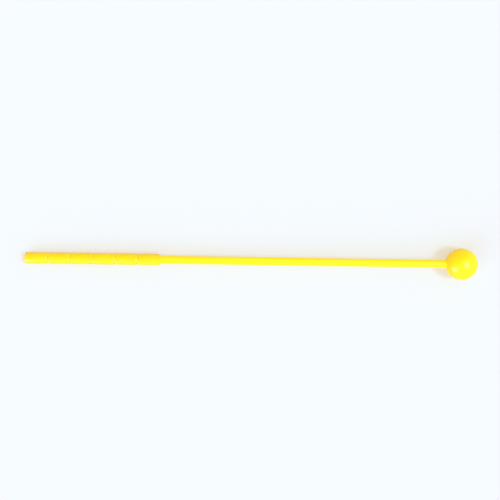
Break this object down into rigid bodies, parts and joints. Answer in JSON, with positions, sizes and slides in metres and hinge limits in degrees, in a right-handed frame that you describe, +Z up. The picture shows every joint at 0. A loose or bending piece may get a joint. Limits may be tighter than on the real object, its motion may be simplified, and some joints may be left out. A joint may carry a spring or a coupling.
{
  "type": "swing trainer stick",
  "caption": "Straight practice stick with a ringed hand grip, a slim covered shaft with a flexible core, and a smooth weighted ball at the far end.",
  "frame": {"origin": "centre of the underside of the stick as it lies on a level surface, on the rim of its butt and on its ball", "axes": "+X along the stick from the butt to the ball, +Z up; the stick's own axis rises 1.3 degrees towards the ball"},
  "size_m": [0.889, 0.062, 0.062],
  "materials": {
    "grip_plastic": "fine-grained moulded yellow, satin",
    "shaft_plastic": "smooth extruded yellow, satin gloss",
    "ball_plastic": "smooth moulded yellow, satin gloss",
    "fibreglass": "pultruded fibreglass, long fine fibres",
    "tape": "white double-sided tape",
    "weight_steel": "turned, uncoated",
    "fitting_steel": "turned and zinc plated"
  },
  "bodies": {
    "root": {"butt_cap": "grip_plastic", "grip_sleeve": "grip_plastic", "grip_tape": "tape", "counterweight": "weight_steel", "shaft_sleeve": "shaft_plastic", "flex_rod": "fibreglass", "neck_collar": "shaft_plastic", "rod_ferrule": "fitting_steel", "ferrule_pin": "fitting_steel", "ball_weight": "weight_steel", "lock_washer": "fitting_steel", "lock_nut": "fitting_steel", "ball_shell_lower": "ball_plastic", "ball_shell_upper": "ball_plastic"}
  },
  "joints": []
}
